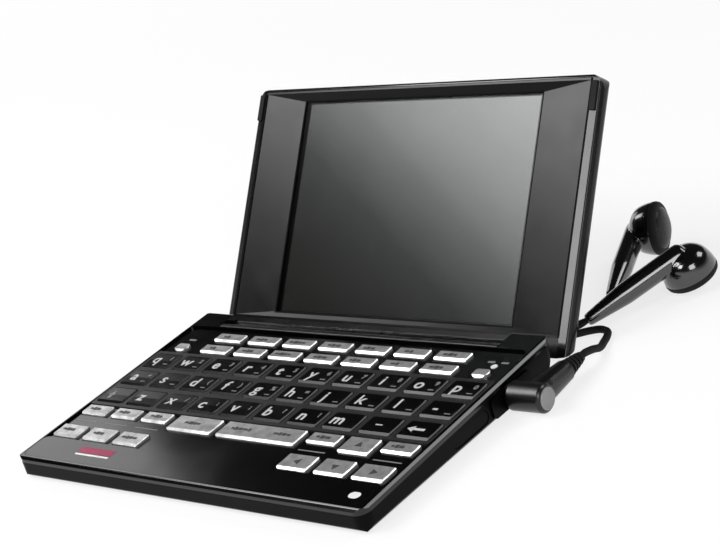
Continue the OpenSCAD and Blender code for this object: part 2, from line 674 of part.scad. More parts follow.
// Cords: a route of hand-placed points, smoothed, with a ring of sides round each point
up = [0, 0, 1];
function unit(v) = v / norm(v);
function heading(p, i) = unit(p[min(i + 1, len(p) - 1)] - p[max(i - 1, 0)]);
function between(p, i, t) = let (
  a = p[max(i - 1, 0)], b = p[i], c = p[i + 1], d = p[min(i + 2, len(p) - 1)])
  0.5 * (2 * b + (c - a) * t + (2 * a - 5 * b + 4 * c - d) * t * t + (3 * b - a - 3 * c + d) * t * t * t);
function smooth(p, n) = concat(
  [for (i = [0 : len(p) - 2], k = [0 : n - 1]) between(p, i, k / n)], [p[len(p) - 1]]);
function length(p, i = 0) = i >= len(p) - 1 ? 0 : norm(p[i + 1] - p[i]) + length(p, i + 1);
module tube(path, d, sides) {
  n = len(path);
  rings = [for (i = [0 : n - 1]) let (t = heading(path, i), s = unit(cross(t, up)), u = cross(s, t))
    for (k = [0 : sides - 1]) let (a = 360 * (k + 0.5) / sides)
      path[i] + d / 2 * (cos(a) * s + sin(a) * u)];
  side_faces = [for (i = [0 : n - 2], k = [0 : sides - 1])
    let (a = i * sides + k, b = i * sides + (k + 1) % sides)
      each [[a, a + sides, b], [b, a + sides, b + sides]]];
  caps = [[for (k = [0 : sides - 1]) k], [for (k = [sides - 1 : -1 : 0]) (n - 1) * sides + k]];
  polyhedron(points = rings, faces = concat(side_faces, caps));
}

// Coil of spare lead behind the lid: four layers that spiral in and out
coil_at = [12, 105, lead_d / 2];
coil_layers = 4;
coil_layer_loops = 3.875;
coil_step = lead_d + 0.5;
coil_out = 14.9;
coil_rings = 24;
coil_loops = coil_layers * coil_layer_loops;
coil_count = coil_loops * coil_rings;
function smoothstep(x) = let (c = max(0, min(1, x))) c * c * (3 - 2 * c);
function coil_spiral(t) = let (k = floor(t / coil_layer_loops), f = t - k * coil_layer_loops)
  k % 2 == 0 ? f : coil_layer_loops - f;
function coil_height(t) = coil_step * (smoothstep((t - coil_layer_loops + 0.25) * 2)
  + smoothstep((t - 2 * coil_layer_loops + 0.25) * 2) + smoothstep((t - 3 * coil_layer_loops + 0.25) * 2));
function coil_point(t) = coil_at + [-(coil_out - coil_step * coil_spiral(t)) * sin(360 * t),
  -(coil_out - coil_step * coil_spiral(t)) * cos(360 * t), coil_height(t)];
coil_turns = [for (i = [0 : coil_count]) coil_point(i / coil_rings)];
coil_start = coil_turns[0] + [lead_d, 0, 0];
coil_end = coil_turns[coil_count] + [lead_d, 0, 0];
coil_path = concat([coil_start], coil_turns, [coil_end]);
coil_gap = min([for (i = [0 : coil_count - 13], j = [i + 12 : coil_count])
  norm(coil_turns[i] - coil_turns[j])]) - lead_d;

// Places of the earbuds: the left one stands on its rim, the right one lies on its grille
stem_top_d = 5.4;
stem_tip_d = 3;
stem_len = 27;
stem_taper = 9;
stem_off = 4.2;
tip_z = stem_tip_d / 2 + 0.1;
bud_left_at = [47, 129, bud_d / 2 + 0.05];
bud_left_turn = 16;
bud_left_dip = asin((bud_left_at[2] - tip_z) / stem_len);
bud_right_at = [66.6, 112.2, 4.85];
bud_right_turn = -34.7;
bud_right_dip = acos((tip_z - bud_right_at[2]) / norm([stem_off, stem_len])) - atan2(stem_len, stem_off);
function turned(p, a) = [p[0] * cos(a) - p[1] * sin(a), p[0] * sin(a) + p[1] * cos(a), p[2]];
bud_left_tip = bud_left_at + turned(
  [-stem_off, -stem_len * cos(bud_left_dip), -stem_len * sin(bud_left_dip)], bud_left_turn);
bud_right_tip = bud_right_at + turned(
  [0, -stem_len * cos(bud_right_dip) - stem_off * sin(bud_right_dip),
   stem_off * cos(bud_right_dip) - stem_len * sin(bud_right_dip)], bud_right_turn);

// Routes over the table, in the frame of the part before it is centred
lead_route = [[elbow_x, relief_end + 0.05, jack_z], [elbow_x, relief_end + lead_d, jack_z],
  [62.4, 75.5, 2.6], [61.8, 79, 1.2], [60.8, 82, 0.9], [60.1, 84.4, 0.9], [58.8, 86.8, 0.9],
  [56.3, 87.7, 0.9], [53.6, 86.5, 0.9], [51, 84.6, 0.9], [47.6, 83.3, 0.9], [43, 82.8, 0.9],
  [37, 83.6, 0.9], [31, 86, 0.9], [25, 89, 0.9], [19, 90.1, 0.9], coil_start];
split_at = [31.6, 106.2, lead_d / 2];
tail_route = [coil_end, [17, 119.8, 7.6], [21, 119, 6], [25, 117, 3.6], [28.6, 113.8, 1.7],
  [30.9, 110.4, 0.9], [31.6, 108.2, 0.9], split_at + [0, 0.05, 0]];
bud_left_route = [[32.5, 102.55, 0.65], [32.5, 101.2, 0.65], [32.7, 98, 0.65], [33.8, 94, 0.65],
  [36.4, 90.4, 0.65], [40, 88.2, 0.65], [44, 87.8, 0.65], [47.2, 89.2, 0.65], [49.6, 92.2, 0.65],
  [50.9, 95.8, 0.8], [51.1, 99.4, 1], bud_left_tip];
bud_right_route = [[30.7, 102.55, 0.65], [30.7, 101.2, 0.65], [30.8, 97.6, 0.65], [31.8, 93, 0.65],
  [34.6, 88.8, 0.65], [38.6, 86.2, 0.65], [43, 85.2, 0.65], [46.2, 85.6, 0.65], [48.5, 86.7, 0.9],
  [50.1, 88.4, 1.1], bud_right_tip];
lead_path = smooth(lead_route, 2);
tail_path = smooth(tail_route, 2);
bud_left_path = smooth(bud_left_route, 2);
bud_right_path = smooth(bud_right_route, 2);
echo(coil_gap = coil_gap, coil = length(coil_path), lead = length(lead_path), tail = length(tail_path),
  bud_left = length(bud_left_path), bud_right = length(bud_right_path));
echo(bud_left_tip = bud_left_tip, bud_right_tip = bud_right_tip, elbow_x = elbow_x);
echo(shift_y = shift_y, hinge_depth = hinge_depth, face_off = face_off, swing = lid_swing, rear_y = rear_y);

module lead() color("#1d1d20") placed() tube(lead_path, lead_d, 8);
module lead_coil() color("#1d1d20") placed() tube(coil_path, lead_d, 6);
module lead_tail() color("#1d1d20") placed() tube(tail_path, lead_d, 8);
module bud_lead_left() color("#1d1d20") placed() tube(bud_left_path, bud_lead_d, 8);
module bud_lead_right() color("#1d1d20") placed() tube(bud_right_path, bud_lead_d, 8);
split_len = 3.6;
split_turn = -90;
module lead_split() color("#1c1c1f") placed()
  translate(split_at) rotate([0, 0, split_turn])
    linear_extrude(lead_d, center = true)
      polygon([[0, -1.1], [0, 1.1], [split_len, 1.7], [split_len, -1.7]]);

// Earbuds, each in its own frame: the head faces +X and the stem runs along -Y
module left_bud_frame() {
  translate(bud_left_at) rotate([0, 0, bud_left_turn]) rotate([bud_left_dip, 0, 0]) children();
}
module right_bud_frame() {
  translate(bud_right_at) rotate([0, 0, bud_right_turn]) rotate([bud_right_dip, 0, 0])
    rotate([0, 90, 0]) children();
}
module earbud() {
  rotate([0, 90, 0]) rotate_extrude() polygon(concat(
    [[0, -5.2]], arc([1.6, 0], 5.2, -80, -40, 4), [[bud_d / 2 - 1.1, -1.2], [bud_d / 2 - 0.3, 0.2],
    [bud_d / 2, 1], [bud_d / 2, 2], [bud_d / 2 - 0.5, 2.6], [bud_d / 2 - 1.2, 2.9], [0, 2.9]]));
  translate([-stem_off, 0, 0]) rotate([90, 0, 0]) {
    translate([0, 0, -1]) cylinder(d = stem_top_d, h = stem_len - stem_taper + 1);
    translate([0, 0, stem_len - stem_taper]) cylinder(d1 = stem_top_d, d2 = stem_tip_d, h = stem_taper);
  }
}
module bud_grille() rotate([0, 90, 0]) rotate_extrude() polygon([[0, 2.9], [bud_d / 2 - 1.3, 2.9],
  [bud_d / 2 - 2.2, 3.7], [bud_d / 2 - 4, 4.2], [0, 4.4]]);
module earbud_left() color("#141416") placed() left_bud_frame() earbud();
module earbud_right() color("#141416") placed() right_bud_frame() earbud();
module bud_grilles() color("#3c3c40") placed() {
  left_bud_frame() bud_grille();
  right_bud_frame() bud_grille();
}

bottom_case();
top_case();
palm_panel();
key_grid();
hinge_cover();
key_set(letter_upper, "#101013");  // letter_keys_upper
key_set(letter_middle, "#101013");  // letter_keys_middle
key_set(letter_lower, "#101013");  // letter_keys_lower
key_set(function_upper, "#b9bbc0");  // function_keys_upper
key_set(function_lower, "#b9bbc0");  // function_keys_lower
oval_key(power_at);  // power_key
oval_key(sound_at);  // sound_key
key_set([index_at], "#b9bbc0");  // index_key
key_set([shift_at], "#b9bbc0");  // shift_key
key_set([symbol_at], "#b9bbc0");  // symbol_key
key_set([menu_at], "#b9bbc0");  // menu_key
key_set([back_at], "#b9bbc0");  // back_key
key_set([jump_at], "#b9bbc0");  // jump_key
key_set([scroll_at], "#b9bbc0");  // scroll_key
key_set([list_at], "#b9bbc0");  // list_key
key_set([page_up_at], "#b9bbc0");  // page_up_key
key_set([up_at], "#b9bbc0");  // up_key
key_set([page_down_at], "#b9bbc0");  // page_down_key
key_set([left_at], "#b9bbc0");  // left_key
key_set([down_at], "#b9bbc0");  // down_key
key_set([right_at], "#b9bbc0");  // right_key
status_lamp();
key_membrane();
main_board();
battery();
battery_cover();
loudspeaker();
headphone_jack();
data_port();
slot_cover();
feet();
case_screws();
hinge_pins();
lid_shell();
lid_bezel();
screen_window();
lcd_panel();
lid_bumpers();
plug_contact();
plug_body();
plug_relief();
lead();
lead_coil();
lead_tail();
lead_split();
bud_lead_left();
bud_lead_right();
earbud_left();
earbud_right();
bud_grilles();
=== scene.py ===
import json
from math import cos, pi, radians, sin

import bmesh
import bpy
from mathutils import Matrix, Vector


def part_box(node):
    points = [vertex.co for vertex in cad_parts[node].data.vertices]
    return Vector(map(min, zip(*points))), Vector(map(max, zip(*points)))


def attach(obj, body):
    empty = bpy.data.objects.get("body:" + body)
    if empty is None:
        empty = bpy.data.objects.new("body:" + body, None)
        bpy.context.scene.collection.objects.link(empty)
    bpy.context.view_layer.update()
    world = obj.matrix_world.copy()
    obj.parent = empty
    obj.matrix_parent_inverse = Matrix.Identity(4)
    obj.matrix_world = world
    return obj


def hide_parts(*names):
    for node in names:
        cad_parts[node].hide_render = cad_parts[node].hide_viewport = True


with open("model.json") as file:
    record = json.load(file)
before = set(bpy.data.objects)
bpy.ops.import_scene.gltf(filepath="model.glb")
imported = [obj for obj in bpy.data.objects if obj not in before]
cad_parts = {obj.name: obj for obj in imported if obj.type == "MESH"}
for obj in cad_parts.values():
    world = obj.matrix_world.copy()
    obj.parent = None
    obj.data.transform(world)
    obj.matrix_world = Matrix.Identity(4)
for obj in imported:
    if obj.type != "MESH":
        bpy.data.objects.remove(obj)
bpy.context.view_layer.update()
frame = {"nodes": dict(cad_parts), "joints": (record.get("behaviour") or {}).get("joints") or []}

# Shapes are drawn in millimetres on the table, on the deck, which slopes up to the rear, or on the
# lid, which stands open on its hinge. TABLE, DECK and LID put them in their places, in metres.
MM = 0.001
HINGE_FROM_FRONT = 69
FRONT_HEIGHT = 6
DECK_TILT = radians(2.1)
LID_STAND = radians(53.4)
HINGE = Vector(next(j["pos_m"] for j in frame["joints"] if j["name"] == "lid_hinge"))
FRONT_EDGE = HINGE.y - HINGE_FROM_FRONT * MM
TABLE = Matrix.Translation((0, FRONT_EDGE, 0)) @ Matrix.Scale(MM, 4)
DECK = (
    Matrix.Translation((0, FRONT_EDGE, FRONT_HEIGHT * MM))
    @ Matrix.Rotation(DECK_TILT, 4, "X")
    @ Matrix.Scale(MM, 4)
)
LID = Matrix.Translation(HINGE) @ Matrix.Rotation(LID_STAND, 4, "X") @ Matrix.Scale(MM, 4)


def turned(axis, degrees):
    """A turn about an axis."""
    return Matrix.Rotation(radians(degrees), 4, axis)


# ---------------------------------------------------------------- camera


EYE = (300.96, -276.44, 176.46)
EYE_TURN = (68.549, 16.165, 39.628)
EYE_LENS = 92.3
EYE_SENSOR = 36
EYE_CLIP = 0.01


def camera():
    """The camera at the photograph's viewing angle."""
    data = bpy.data.cameras.new("camera")
    data.sensor_width = EYE_SENSOR
    data.lens = EYE_LENS
    data.clip_start = EYE_CLIP
    eye = bpy.data.objects.new("camera", data)
    eye.location = Vector(EYE) * MM
    eye.rotation_euler = [radians(angle) for angle in EYE_TURN]
    bpy.context.scene.collection.objects.link(eye)
    bpy.context.scene.camera = eye


# ---------------------------------------------------------------- cords


LEAD_D = 1.8
BUD_LEAD_D = 1.3
ROUTE_STEPS = 6

# From the plug round the rear of the lid to the coil
LEAD_ROUTE = [
    (62.65, 70.45, 3.5), (62.65, 72.2, 3.5), (62.4, 75.5, 2.6), (61.8, 79, 1.2), (60.8, 82, 0.9),
    (60.1, 84.4, 0.9), (58.8, 86.8, 0.9), (56.3, 87.7, 0.9), (53.6, 86.5, 0.9), (51, 84.6, 0.9),
    (47.6, 83.3, 0.9), (43, 82.8, 0.9), (37, 83.6, 0.9), (31, 86, 0.9), (25, 89, 0.9),
    (19, 90.1, 0.9),
]
# Down from the top of the coil to the split
TAIL_ROUTE = [
    (17, 119.8, 7.6), (21, 119, 6), (25, 117, 3.6), (28.6, 113.8, 1.7), (30.9, 110.4, 0.9),
    (31.6, 108.2, 0.9), (31.6, 106.25, 0.9),
]
# From the split to the tips of the earbuds' stems
BUD_LEFT_ROUTE = [
    (32.5, 102.55, 0.65), (32.5, 101.2, 0.65), (32.7, 98, 0.65), (33.8, 94, 0.65),
    (36.4, 90.4, 0.65), (40, 88.2, 0.65), (44, 87.8, 0.65), (47.2, 89.2, 0.65),
    (49.6, 92.2, 0.65), (50.9, 95.8, 0.8), (51.1, 99.4, 1), (50.268, 102.365, 1.6),
]
BUD_RIGHT_ROUTE = [
    (30.7, 102.55, 0.65), (30.7, 101.2, 0.65), (30.8, 97.6, 0.65), (31.8, 93, 0.65),
    (34.6, 88.8, 0.65), (38.6, 86.2, 0.65), (43, 85.2, 0.65), (46.2, 85.6, 0.65),
    (48.5, 86.7, 0.9), (50.1, 88.4, 1.1), (51.155, 89.895, 1.6),
]

COIL_CENTRE = Vector((12, 105, LEAD_D / 2))
COIL_LAYERS = 4
COIL_LOOPS = 3.875  # in each layer
COIL_STEP = 2.3  # between loops, and between layers
COIL_RADIUS = 14.9
COIL_CLIMB = 0.5  # of a loop, from one layer to the next
COIL_STEPS = 40  # points in a loop


def smooth(route):
    """A rounded line (Catmull-Rom) through the route's points."""
    points = [Vector(p) for p in (route[0], *route, route[-1])]
    line = []
    for a, b, c, d in zip(points, points[1:], points[2:], points[3:]):
        speed = c - a
        square = 2 * a - 5 * b + 4 * c - d
        cube = 3 * b - a - 3 * c + d
        for k in range(ROUTE_STEPS):
            t = k / ROUTE_STEPS
            line.append(0.5 * (2 * b + speed * t + square * t**2 + cube * t**3))
    return line + [points[-1]]


def coil():
    """Layers of loops that spiral in and out by turns, each layer resting on the last."""
    line = []
    for k in range(round(COIL_LAYERS * COIL_LOOPS * COIL_STEPS) + 1):
        loop = k / COIL_STEPS
        layer = min(int(loop / COIL_LOOPS), COIL_LAYERS - 1)
        along = loop - layer * COIL_LOOPS
        inward = along if layer % 2 == 0 else COIL_LOOPS - along
        radius = COIL_RADIUS - COIL_STEP * inward
        height = 0
        for step in range(1, COIL_LAYERS):
            rise = min(max((loop - COIL_LOOPS * step) / COIL_CLIMB + 0.5, 0), 1)
            height += COIL_STEP * rise * rise * (3 - 2 * rise)
        turn = 2 * pi * loop
        line.append(COIL_CENTRE + Vector((-radius * sin(turn), -radius * cos(turn), height)))
    return line


def cord_piece(name, line, diameter, finish, *replaced):
    """A cord along a line of points on the table, with its start and its length."""
    curve = bpy.data.curves.new(name, "CURVE")
    curve.dimensions = "3D"
    curve.bevel_depth = diameter / 2 * MM
    curve.bevel_resolution = 3
    curve.use_fill_caps = True
    points = [TABLE @ p for p in line]
    spline = curve.splines.new("POLY")
    spline.points.add(len(points) - 1)
    for knot, p in zip(spline.points, points):
        knot.co = (*p, 1)
    curve.materials.append(finish.material)
    made = bpy.data.objects.new(name, curve)
    bpy.context.scene.collection.objects.link(made)
    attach(made, "earphones")
    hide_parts(*replaced)
    run = sum((b - a).length for a, b in zip(points, points[1:]))
    return made, points[0], run


def cords(rubber, plug, left_bud, right_bud):
    """The lead with its coil, and a thinner lead from the split to each earbud."""
    turns = coil()
    first = smooth(LEAD_ROUTE + [turns[0]])
    last = smooth([turns[-1]] + TAIL_ROUTE)
    lead, start, run = cord_piece(
        "earphone_lead", first[:-1] + turns + last[1:], LEAD_D, rubber,
        "lead", "lead_coil", "lead_tail",
    )
    for side, route, bud in (
        ("left", BUD_LEFT_ROUTE, left_bud),
        ("right", BUD_RIGHT_ROUTE, right_bud),
    ):
        branch, start, run = cord_piece(
            "branch_" + side, smooth(route), BUD_LEAD_D, rubber, "bud_lead_" + side
        )


# ---------------------------------------------------------------- nodes of materials


MIX_FACTOR, MIX_LOW, MIX_HIGH, MIX_COLOUR = 0, 6, 7, 2  # sockets of a Mix node for colours


class Value:
    """A node's output; arithmetic on it adds Math nodes, and | takes the greater of two."""

    def __init__(self, nodes, socket):
        self.nodes = nodes
        self.socket = socket

    def __add__(self, other):
        return self.nodes.math("ADD", self, other)

    def __sub__(self, other):
        return self.nodes.math("SUBTRACT", self, other)

    def __rsub__(self, other):
        return self.nodes.math("SUBTRACT", other, self)

    def __mul__(self, other):
        return self.nodes.math("MULTIPLY", self, other)

    def __or__(self, other):
        return self.nodes.math("MAXIMUM", self, other)

    def __gt__(self, other):
        return self.nodes.math("GREATER_THAN", self, other)

    def __lt__(self, other):
        return self.nodes.math("LESS_THAN", self, other)

    def __abs__(self):
        return self.nodes.math("ABSOLUTE", self)

    __radd__ = __add__
    __rmul__ = __mul__
    __ror__ = __or__


def set_stops(ramp, stops):
    """Gives a colour ramp its stops, from two up."""
    while len(ramp.elements) < len(stops):
        ramp.elements.new(1)
    for element, (place, colour) in zip(ramp.elements, stops):
        element.position = place
        element.color = (*colour, 1)


class Nodes:
    """Adds nodes to the tree of a material or of the world."""

    def __init__(self, tree):
        self.tree = tree

    def node(self, kind, settings=(), sockets=(), out=0):
        """Adds a node of a kind: its settings are made first, then its sockets are fed."""
        made = self.tree.nodes.new("ShaderNode" + kind)
        for name, value in dict(settings).items():
            if name == "stops":
                set_stops(made.color_ramp, value)
            else:
                setattr(made, name, value)
        for name, value in dict(sockets).items():
            self.feed(made.inputs[name], value)
        return Value(self, made.outputs[out])

    def feed(self, socket, value):
        if isinstance(value, Value):
            self.tree.links.new(value.socket, socket)
        else:
            socket.default_value = value

    def math(self, operation, *values):
        return self.node("Math", {"operation": operation}, dict(enumerate(values)))

    def split(self, vector):
        """The three numbers of a vector."""
        parts = self.node("SeparateXYZ", (), {"Vector": vector}).socket.node.outputs
        return [Value(self, part) for part in parts]

    def ramp(self, value, start, end, low=0, high=1, kind="LINEAR"):
        """Goes from low to high while the value goes from start to end."""
        return self.node(
            "MapRange",
            {"interpolation_type": kind},
            {"Value": value, "From Min": start, "From Max": end, "To Min": low, "To Max": high},
        )

    def blend(self, factor, low, high):
        """The low colour where the factor is 0, and the high colour where it is 1."""
        low, high = (c if isinstance(c, Value) else (*c, 1) for c in (low, high))
        sockets = {MIX_FACTOR: factor, MIX_LOW: low, MIX_HIGH: high}
        return self.node("Mix", {"data_type": "RGBA"}, sockets, MIX_COLOUR)

    def rays(self, *kinds):
        """1 for rays of the named kinds, else 0."""
        path = self.node("LightPath").socket.node
        seen, *others = (Value(self, path.outputs[kind]) for kind in kinds)
        for other in others:
            seen = seen | other
        return seen


class Finish(Nodes):
    """A material built round one Principled shader."""

    def __init__(self, name, colour, roughness, **uniform):
        self.material = bpy.data.materials.new(name)
        self.material.use_nodes = True
        super().__init__(self.material.node_tree)
        self.shader = self.tree.nodes["Principled BSDF"]
        self.set("Base Color", (*colour, 1))
        self.set("Roughness", roughness)
        for socket, value in uniform.items():
            self.set(socket.replace("_", " "), value)

    def set(self, socket, value):
        self.feed(self.shader.inputs[socket], value)

    def place(self, origin=(0, 0, 0), turn=0):
        """Coordinates in millimetres from an origin, turned about X."""
        return self.node(
            "Mapping",
            {"vector_type": "TEXTURE"},
            {
                "Vector": self.node("TexCoord", out="Object"),
                "Location": origin,
                "Rotation": (turn, 0, 0),
                "Scale": (MM, MM, MM),
            },
        )

    def lid_place(self):
        """Coordinates on the lid: across, up from the hinge, and out from the hinge's axis."""
        return self.place(HINGE, LID_STAND)

    def noise(self, vector, grain, detail=3):
        """Smooth noise from 0 to 1 with patches about as many millimetres wide as the grain."""
        return self.node(
            "TexNoise", (), {"Vector": vector, "Scale": 1 / grain, "Detail": detail}, "Fac"
        )

    def bump(self, height, depth):
        """Relief of a depth in millimetres."""
        sockets = {"Height": height, "Distance": depth * MM, "Strength": 1}
        self.set("Normal", self.node("Bump", (), sockets))


# ---------------------------------------------------------------- finishes


# The window in the lid, across and up from the hinge
WINDOW_W = 77.4
WINDOW_H = 56
WINDOW_V = 6.9
WINDOW_MIDDLE = WINDOW_V + WINDOW_H / 2
WINDOW_LIP = 0.4
LCD_SIDE = 1.1  # dark outline of the picture at its left and right
LCD_OUTLINE = 0.55  # and at its top and bottom
BEZEL_RING = 52.75  # from the middle to where the bezel's dull outer ring begins
LID_FACE = -5.127  # the lid's rim round the bezel, out from the hinge's axis
RIM_DEPTH = 0.6

SATIN_DRIFT = 9  # grain of the slow change in roughness over moulded surfaces
# Colours along the LCD from low left to top right: the dark olive is the unlit crystal's own
# colour, and the paler stops towards the top right are a painted reflection
LCD_PAINTED_SHEEN = [
    (0, (0.0095, 0.0095, 0.0075)),
    (0.4, (0.012, 0.0145, 0.013)),
    (0.58, (0.055, 0.064, 0.061)),
    (0.78, (0.17, 0.185, 0.181)),
    (1, (0.3, 0.315, 0.31)),
]
BOARD_GREEN = (0.01, 0.09, 0.03)
TRACK_GREEN = (0.03, 0.2, 0.07)
TRACK_W = 0.08
GOLD = (0.8, 0.55, 0.2)
CRIMSON = (0.3, 0.016, 0.07)


def grey(level, warm=0.0):
    """A linear grey from the 0 to 255 level that it shows at, a little warm or cool."""
    value = (level / 255) ** 2.2
    return (value * (1 + warm), value, value * (1 - warm))


def toned(colour, by):
    """A colour made darker or lighter."""
    return [c * by for c in colour]


def moulded(name, colour, roughness, grain=0.35, depth=0.004, **uniform):
    """Moulded plastic: fine spark texture, and roughness that drifts over the surface."""
    made = Finish(name, colour, roughness, **uniform)
    at = made.place()
    made.bump(made.noise(at, grain, 2), depth)
    made.set("Roughness", made.noise(at, SATIN_DRIFT) * 0.16 + (roughness - 0.08))
    made.set("Base Color", made.blend(made.noise(at, 4), toned(colour, 0.8), toned(colour, 1.2)))
    return made


def lid_black():
    """Satin shell whose rim round the bezel is polished."""
    made = moulded(
        "lid_black", grey(11), 0.26, 0.35, 0.001, Specular_IOR_Level=0.22, Coat_Roughness=0.13
    )
    out = made.split(made.lid_place())[2]
    made.set("Coat Weight", (out > LID_FACE - RIM_DEPTH) * 0.5)
    return made


def bezel_satin():
    """Satin panels with a dull lip round the window and a dull outer ring at the sides."""
    made = moulded("bezel_satin", grey(10, -0.03), 0.24, 0.3, 0.0005, Specular_IOR_Level=0.23)
    at = made.lid_place()
    across, up = made.split(at)[:2]
    ring = abs(across) > BEZEL_RING
    past_side = abs(across) - WINDOW_W / 2
    past_end = abs(up - WINDOW_MIDDLE) - WINDOW_H / 2
    lip = (past_side | past_end) < WINDOW_LIP
    made.set("Roughness", made.noise(at, SATIN_DRIFT) * 0.14 + (ring | lip) * 0.7 + 0.16)
    return made


def piano_black(name, colour, roughness):
    """Polished black with faint smudges and a slight swell."""
    made = Finish(name, colour, roughness)
    at = made.place()
    smudge = made.noise(at, 14, 5)
    made.set("Roughness", smudge * smudge * 0.16 + roughness)
    made.set("Base Color", made.blend(smudge, toned(colour, 0.7), toned(colour, 1.4)))
    made.bump(made.noise(at, 22, 2), 0.02)
    return made


def silver_paint():
    """Metallic paint on the small keys, with flake and light wear."""
    made = Finish("silver_paint", grey(170), 0.34)
    at = made.place()
    flake = made.noise(at, 0.12, 1)
    patches = made.ramp(made.noise(at, 2.4, 4), 0.32, 0.68)
    made.set("Base Color", made.blend(patches, grey(162), grey(218)))
    made.set("Metallic", patches * 0.2 + 0.6)
    made.set("Roughness", flake * 0.1 + 0.26)
    made.bump(flake, 0.0015)
    return made


def lcd():
    """Unlit liquid crystal in a dark outline: olive dark low on the left, and pale at the top right
    from a painted reflection.
    """
    made = Finish("lcd_panel", grey(80), 0.22, Specular_IOR_Level=0.25)
    at = made.lid_place()
    across, up = made.split(at)[:2]
    # Painted reflection: along this level the colour brightens from dark olive low on the left to
    # pale at the top right
    level = (across + WINDOW_W / 2) * (0.5 / WINDOW_W) + (up - WINDOW_V) * (0.5 / WINDOW_H)
    drift = made.noise(at, 30, 2) * 0.05 - 0.025
    painted_sheen = made.node("ValToRGB", {"stops": LCD_PAINTED_SHEEN}, {"Fac": level + drift})
    side = abs(across) > WINDOW_W / 2 - LCD_SIDE
    end = abs(up - WINDOW_MIDDLE) > WINDOW_H / 2 - LCD_OUTLINE
    made.set("Base Color", made.blend(side | end, painted_sheen, grey(8)))
    return made


def window_glass():
    """Clear cover whose gloss is a little uneven."""
    made = Finish("window_glass", grey(20), 0.2, Alpha=0.08)
    made.set("Roughness", made.noise(made.place(), 18, 4) * 0.06 + 0.17)
    return made


def metal(name, colour, roughness):
    """Turned or plated metal with fine scratches."""
    made = Finish(name, colour, roughness, Metallic=1)
    at = made.place()
    made.set("Roughness", made.noise(at, 0.8, 3) * 0.2 + (roughness - 0.1))
    made.set("Base Color", made.blend(made.noise(at, 3), toned(colour, 0.85), colour))
    return made


def circuit_board():
    """Green board with raised tracks."""
    made = Finish("circuit_board", BOARD_GREEN, 0.45)
    cells = {"Vector": made.place(), "Scale": 0.35}
    tracks = made.node("TexVoronoi", {"feature": "DISTANCE_TO_EDGE"}, cells, "Distance") < TRACK_W
    made.set("Base Color", made.blend(tracks, BOARD_GREEN, TRACK_GREEN))
    made.bump(tracks, 0.02)
    return made


def grille_mesh():
    """Woven steel mesh over the mouth of an earbud."""
    made = Finish("grille_mesh", grey(40), 0.4, Metallic=0.6)
    cells = {"Vector": made.place(), "Scale": 2.4}
    holes = made.node("TexVoronoi", (), cells, "Distance") < 0.36
    made.set("Base Color", made.blend(holes, grey(44), grey(8)))
    made.bump(1 - holes, 0.06)
    return made


# ---------------------------------------------------------------- making pieces


WELD = 0.001  # points nearer than this become one
FLAT = 0.003  # faces that bend less than this become one
LEVEL = 0.03  # how far a point may lie from the height of its loop
SHARP = radians(35)
SHARP_EASED = radians(12.5)


def add_piece(name, shape, place, body, finish, slot, *replaced):
    """Turns a bmesh drawn in millimetres into a piece that rides on a body."""
    bmesh.ops.transform(shape, matrix=place, verts=shape.verts)
    bmesh.ops.recalc_face_normals(shape, faces=shape.faces)
    mesh = bpy.data.meshes.new(name)
    shape.to_mesh(mesh)
    shape.free()
    mesh.polygons.foreach_set("use_smooth", [True] * len(mesh.polygons))
    mesh.set_sharp_from_angle(angle=SHARP)
    mesh.materials.append(finish.material)
    made = bpy.data.objects.new(name, mesh)
    bpy.context.scene.collection.objects.link(made)
    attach(made, body)
    if replaced:
        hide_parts(*replaced)
    return made


def lathe(profile, steps=64):
    """A bmesh of a profile of (radius, axial) points spun about X."""
    shape = bmesh.new()
    start = [shape.verts.new((axial, 0, radius)) for radius, axial in profile]
    edges = [shape.edges.new(pair) for pair in zip(start, start[1:])]
    bmesh.ops.spin(
        shape, geom=start + edges, cent=(0, 0, 0), axis=(1, 0, 0), angle=2 * pi,
        steps=steps, use_merge=True,
    )
    bmesh.ops.remove_doubles(shape, verts=shape.verts, dist=WELD)
    return shape


def bar(shape, u, v, width, depth, level, round_by=0.0):
    """A flat bar on a face, between the two heights of a level."""
    low, high = level
    made = bmesh.ops.create_cube(shape, size=1)["verts"]
    bmesh.ops.scale(shape, vec=(width, depth, high - low), verts=made)
    bmesh.ops.translate(shape, vec=(u, v, (low + high) / 2), verts=made)
    if round_by:
        uprights = {
            e for p in made for e in p.link_edges
            if abs(e.verts[0].co.z - e.verts[1].co.z) > (high - low) / 2
        }
        bmesh.ops.bevel(
            shape, geom=list(uprights), offset=round_by, offset_type="OFFSET", segments=3,
            profile=0.5, affect="EDGES", material=-1,
        )


def arrow(shape, u, v, degrees, size, level):
    """A flat triangle that points in a direction: 0 is to the right, 90 is to the rear."""
    low, high = level
    made = bmesh.ops.create_cone(
        shape, cap_ends=True, segments=3, radius1=size, radius2=size, depth=high - low
    )["verts"]
    spot = Matrix.Translation((u, v, (low + high) / 2)) @ turned("Z", degrees - 90)
    bmesh.ops.transform(shape, matrix=spot, verts=made)


def letter(shape, text, u, v, size, level):
    """A plain letter standing on (u, v), its middle at u."""
    low, high = level
    curve = bpy.data.curves.new("letter", "FONT")
    curve.body = text
    curve.size = size
    curve.align_x = "CENTER"
    curve.extrude = (high - low) / 2
    curve.offset = LETTER_BOLD
    curve.resolution_u = 3
    holder = bpy.data.objects.new("letter", curve)
    mesh = holder.to_mesh()
    mesh.transform(Matrix.Translation((u, v, (low + high) / 2)))
    shape.from_mesh(mesh)
    holder.to_mesh_clear()
    bpy.data.objects.remove(holder)
    bpy.data.curves.remove(curve)


# ---------------------------------------------------------------- prints on keys and deck


# Places on the deck, from its middle and its front edge
KEY_PITCH = 10.9
ROW_PITCH = 8.3
LETTER_V = 29.3
FUNCTION_PITCH = 12.1
FUNCTION_KEYS = 7

